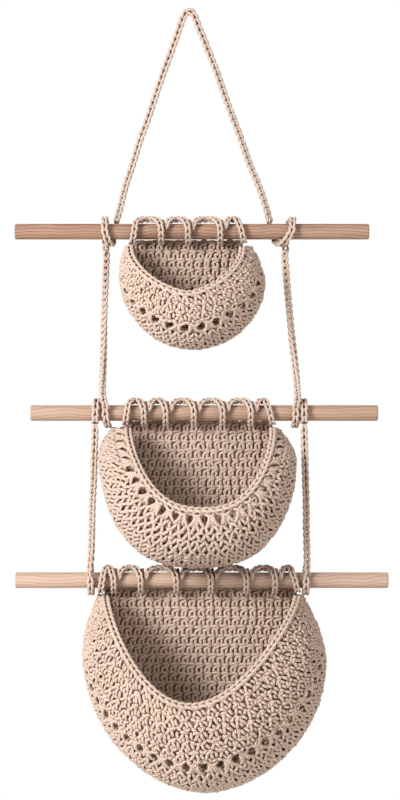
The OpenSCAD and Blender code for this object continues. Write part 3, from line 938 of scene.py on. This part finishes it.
    def reach(self, z: float) -> tuple[float, float]:
        """Give the flat back's left and right edge at a height."""
        seam = self.skin(self.columns, np.ones(len(self.columns)))
        half = len(seam) // 2
        left, right = seam[:half], seam[half:]
        return (float(np.interp(-z, -left[:, 2], left[:, 0])),
                float(np.interp(z, right[:, 2], right[:, 0])))

    def back(self) -> None:
        """Work the flat back in level rows."""
        top = self.rail.z - self.panel_top
        seam = self.skin(self.columns, np.ones(len(self.columns)))
        height = top - float(seam[:, 2].min())
        hand = np.random.default_rng(self.seed)
        strands: list[Array] = []
        down, number = self.panel_start, 0
        while down < height - 4:
            row = self.panel_row
            left, right = self.reach(top - min(down + row.height * 0.6, height - 1))
            if right - left > 2 * row.pitch:
                for line in work(row, right - left, number % 2 == 1, hand):
                    depth = np.minimum(self.panel_y - line[:, 2] * self.panel_squash,
                                       self.panel_y + self.panel_back)
                    strands.append(np.stack([left + line[:, 0], depth,
                                             top - down - line[:, 1]], 1))
            down += row.height
            number += 1
        piece = Spool().piece(f"{self.name}_back_crochet", strands, WORKED_COTTON)
        finish_piece(piece, self.body, f"{self.name}_back_panel")

    def bowl(self, fabric: Fabric) -> None:
        """Work the bowl in rows that run parallel to the mouth and end at the seam.

        Args:
            fabric: The bowl's chart.
        """
        hand = np.random.default_rng(self.seed + 1)
        longest = float(fabric.lengths.max())
        down, number, bunch, count = self.edging_w - self.edging_lap, 0, [], 0
        left = longest - down - sum(row.height for row in self.bowl_rows)
        dense = replace(self.dense_row, height=left / round(left / self.dense_row.height))
        while down < longest - 1:
            row = self.bowl_rows[number] if number < len(self.bowl_rows) else dense
            columns, lengths = fabric.across(down + row.height / 2)
            if lengths[-1] > 3 * row.pitch:
                for line in work(row, float(lengths[-1]), number % 2 == 1, hand):
                    bunch.append(fabric.at(np.interp(line[:, 0], lengths, columns),
                                           down + line[:, 1], line[:, 2]))
            down += row.height
            number += 1
            if number % self.per_piece == 0 or down >= longest - 1:
                count += 1
                piece = Spool().piece(f"{self.name}_bowl_rows_{count}", bunch, WORKED_COTTON)
                finish_piece(piece, self.body, f"{self.name}_front_bowl")
                bunch = []

    def edging(self, fabric: Fabric) -> None:
        """Chain the edging along the mouth.

        Args:
            fabric: The bowl's chart.
        """
        columns = np.linspace(0, len(self.columns) - 1, self.across)
        down, flush = np.full(len(columns), self.edging_w / 2), np.zeros(len(columns))
        line = fabric.at(columns, down, flush - self.edging_depth)
        face = unit(fabric.at(columns, down, flush + 1) - fabric.at(columns, down, flush))
        edge = unit(fabric.at(columns, down - 2, flush) - fabric.at(columns, down + 2, flush))
        # The chain's front faces between the bowl's outside and the mouth
        route = Route(line, unit(face * 0.85 + edge * 0.5))
        self.edging_chain.piece(f"{self.name}_mouth_chain", route, self.body,
                                f"{self.name}_mouth_edging")

    def lacing(self) -> None:
        """Chain the lacing: arches over the rail, turns down its front, thin passes behind it."""
        place = [self.x + f * self.lace_w / 2 for f in self.turns]
        table: list[tuple[float, float, float, float]] = []
        for i, (here, there) in enumerate(zip(place[:-1], place[1:])):
            last = i == len(place) - 2
            rise = [(here + q[0], *q[1:]) for q in (LACE_START if i == 0 else LACE_FOOT)]
            fall = [(there + q[0], *q[1:]) for q in (LACE_END if last else LACE_TURN)]
            left, right = rise[-1][0], fall[0][0]
            table += rise + [(left + q[0] * (right - left), *q[1:]) for q in LACE_ARCH] + fall
        x, angle, air, share = np.array(table).T
        radius = self.rail.surface + self.lacing_d / 2 * share + air
        route = Route(*self.rail.wrap(x, radius, angle), share)
        self.lacing_chain.piece(f"{self.name}_lacing_chain", route, self.lacing_body,
                                f"{self.name}_lacing")

    def build(self) -> None:
        """Make all of the pouch."""
        fabric = self.fabric()
        self.back()
        self.bowl(fabric)
        self.edging(fabric)
        self.lacing()


def finish_piece(piece: bpy.types.Object, body: str, node: str) -> None:
    """Let a piece ride on a body and stand for its node.

    Args:
        piece: The piece.
        body: The body that it moves with.
        node: The node that it replaces.
    """
    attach(piece, body)
    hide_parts(node)
    log.info("%s: %d triangles", piece.name, sum(len(p.vertices) - 2 for p in piece.data.polygons))


# The studio

@dataclass(frozen=True)
class Studio:
    """The camera of the photograph, a pale floor, soft lamps and a white surround."""

    distance: float = 2.4
    eye: tuple[float, float] = (0.01122, -0.3927)
    picture_height: float = 0.816
    aim: tuple[float, float, float] = (0, 0, -0.45)
    floor_z: float = -1.15
    floor_reach: float = 1.3
    surround: float = 0.38

    def camera(self) -> None:
        """Set the camera level in front of the basket, where the photograph was taken."""
        data = bpy.data.cameras.new("photo_camera")
        data.lens = data.sensor_width * self.distance / self.picture_height
        camera = show(bpy.data.objects.new("photo_camera", data))
        camera.location = (self.eye[0], -self.distance, self.eye[1])
        camera.rotation_euler = (math.pi / 2, 0, 0)
        bpy.context.scene.camera = camera

    def lamp(self, name: str, place: tuple[float, float, float], size: float, power: float,
             colour: str) -> None:
        """Hang a soft square lamp that points at the basket.

        Args:
            name: The lamp's name.
            place: Where it hangs.
            size: Its side in metres.
            power: Its power in watts.
            colour: Its colour as sRGB hex.
        """
        data = bpy.data.lights.new(name, "AREA")
        data.size = size
        data.energy = power
        data.color = linear(colour)[:3]
        lamp = show(bpy.data.objects.new(name, data))
        lamp.location = place
        lamp.rotation_euler = (Vector(self.aim) - Vector(place)).to_track_quat("-Z", "Y").to_euler()

    def lights(self) -> None:
        """Light the basket from the front left, with a weak fill from the right."""
        self.lamp("key", (-1.7, -1.9, 0.35), 0.9, 70, "#FFFAF4")
        self.lamp("fill", (1.8, -1.6, -0.3), 1.6, 9, "#FFF6EE")
        world = bpy.data.worlds.new("surround")
        bpy.context.scene.world = world
        world.use_nodes = True
        tree = world.node_tree
        tree.nodes.clear()
        node = partial(add_node, tree)
        rays = node("LightPath").outputs
        seen = node("Math", {0: rays["Is Camera Ray"], 1: rays["Is Glossy Ray"]},
                    operation="MAXIMUM")
        clear = node("Math", {0: seen, 1: rays["Is Transmission Ray"]}, operation="MAXIMUM")
        soft = node("Background", values={0: linear("#FFF3E8"), 1: self.surround})
        white = node("Background", values={0: linear("#FFFFFF"), 1: 1.0})
        node("OutputWorld", {0: node("MixShader", {0: clear, 1: soft, 2: white})})

    def floor(self) -> None:
        """Lay a plain pale floor well below the basket."""
        mesh = bpy.data.meshes.new("floor")
        shape = bmesh.new()
        bmesh.ops.create_grid(shape, x_segments=1, y_segments=1, size=self.floor_reach)
        bmesh.ops.translate(shape, verts=shape.verts, vec=(0, 0, self.floor_z))
        shape.to_mesh(mesh)
        shape.free()
        floor = show(bpy.data.objects.new("floor", mesh))
        matt, _, _ = new_material("matt_pale_floor", {
            "Base Color": linear("#F4F2EF"), "Roughness": 0.9})
        mesh.materials.append(matt)

    def build(self) -> None:
        """Set up the whole studio."""
        bpy.context.scene.view_settings.view_transform = "Standard"
        self.camera()
        self.lights()
        self.floor()


def dress_rails() -> None:
    """Give each rail its wood."""
    for node, finish in (("top_rail", REDDISH_WOOD), ("middle_rail", MIDDLE_WOOD),
                         ("bottom_rail", BOTTOM_WOOD)):
        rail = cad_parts[node]
        if not rail.material_slots:
            rail.data.materials.append(None)
        rail.material_slots[0].material = finish.material()
        log.info("%s: %s", node, finish.name)


def main() -> None:
    """Build the basket from its cords to its pouches."""
    logging.basicConfig(level=logging.INFO, format="%(message)s")
    top, middle, bottom = Rail(-221.0), Rail(-406.0), Rail(-576.5)
    Studio().build()
    cords = CordWork(top, middle, bottom)
    cords.free_cords()
    cords.hitches()
    fine, shell = Row(Stitch.SHELL, 9.4, 12.6), Row(Stitch.SHELL, 11.4, 14.2)
    pouches = [
        Pouch("top", top, "top_pouch", "top_lace", x=-2, mouth_w=111, mouth_h=63.5,
              mouth_lean=2.5, mouth_shift=-1.6, mouth_bend=(1.34, 1.08), neck_w=128, w=147,
              widest=40, h=120, lean=5, shift=1.5, bend=(1.02, 1.08), depth=72, belly=18,
              lace_w=109, turns=(-0.95, -0.48, 0.02, 0.62, 1),
              bowl_rows=[fine, fine, fine, Row(Stitch.EYELET, 12.5, 16.0)],
              dense_row=Row(Stitch.DENSE, 7.6, 8.6), panel_row=Row(Stitch.TALL, 9.0, 8.8),
              seed=11),
        Pouch("middle", middle, "middle_pouch", "middle_pouch", x=10, mouth_w=142.5,
              mouth_h=92, mouth_lean=2, mouth_shift=1.9, mouth_bend=(0.78, 1.4), neck_w=168,
              w=199, widest=35, h=155, lean=3.5, shift=-4, bend=(0.75, 1.06), depth=96,
              belly=26, lace_w=143, turns=(-1, -0.78, -0.47, -0.07, 0.34, 0.74, 1),
              bowl_rows=[Row(Stitch.EYELET, 12.6, 14.6)],
              dense_row=Row(Stitch.DENSE, 7.8, 9.2), panel_row=Row(Stitch.TALL, 9.4, 8.4),
              seed=23),
        Pouch("bottom", bottom, "bottom_pouch", "bottom_pouch", x=9.5, mouth_w=190,
              mouth_h=111, mouth_lean=-11, mouth_shift=3, mouth_bend=(1.02, 1.9), neck_w=207,
              w=244.5, widest=64.5, h=209, lean=5.5, shift=2, bend=(1.1, 1.0), depth=118,
              belly=34, lace_w=195, turns=(-0.985, -0.88, -0.6, -0.23, 0.13, 0.5, 0.8, 1),
              bowl_rows=[shell] * 5 + [Row(Stitch.EYELET, 14.0, 16.6)],
              dense_row=Row(Stitch.DENSE, 8.0, 9.2), panel_row=Row(Stitch.TALL, 9.6, 8.8),
              seed=37)]
    for pouch in pouches:
        pouch.build()
    dress_rails()


if __name__ == "__main__":
    main()
